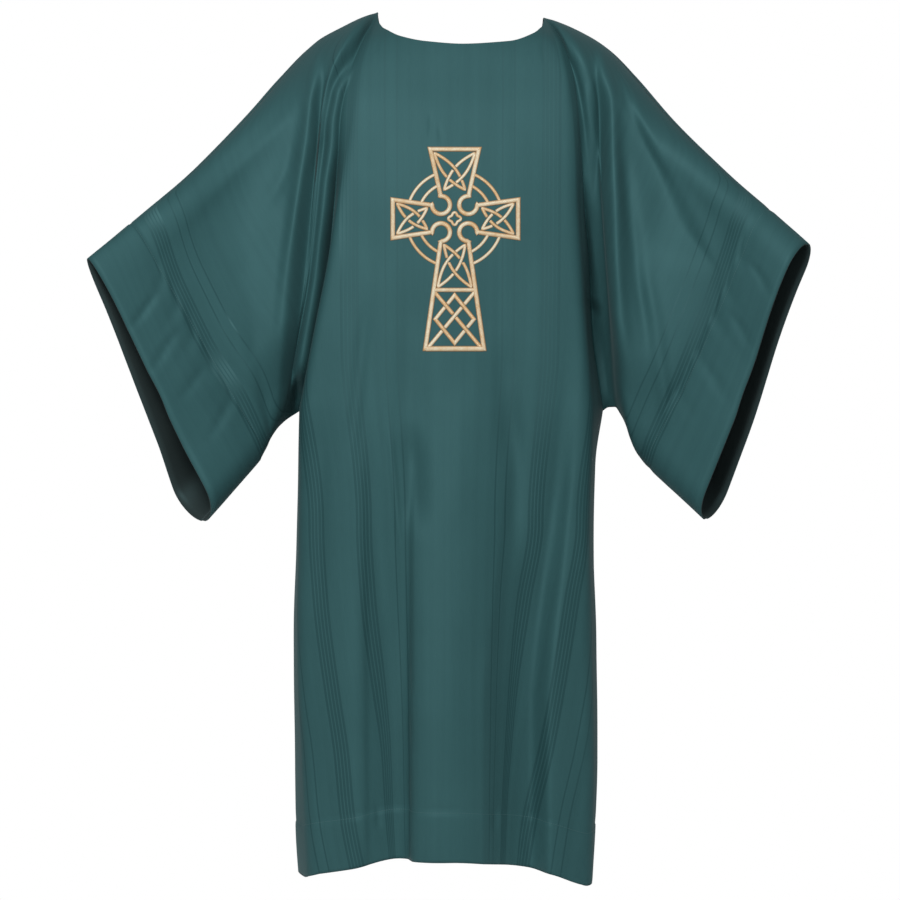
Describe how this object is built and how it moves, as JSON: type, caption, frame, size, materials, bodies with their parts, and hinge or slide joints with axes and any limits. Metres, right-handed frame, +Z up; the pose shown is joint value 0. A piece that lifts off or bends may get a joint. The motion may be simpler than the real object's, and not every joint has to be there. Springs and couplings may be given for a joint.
{
  "type": "dalmatic",
  "caption": "Green cloth dalmatic with wide sleeves and a gold ringed cross on the chest, shown open and worn with no wearer.",
  "frame": {"origin": "between the two neck points on the line of the shoulders, where a wearer's shoulders carry the garment", "axes": "+Z up from the hem to the neck, +X towards the wearer's left, -Y towards the front with the cross"},
  "size_m": [1.0378, 0.3572, 1.2908],
  "materials": {
    "green_cloth": "satin",
    "gold_thread": "satin"
  },
  "bodies": {
    "root": {"front": "green_cloth", "back": "green_cloth", "cross": "gold_thread", "cross_centre": "gold_thread"}
  },
  "joints": []
}
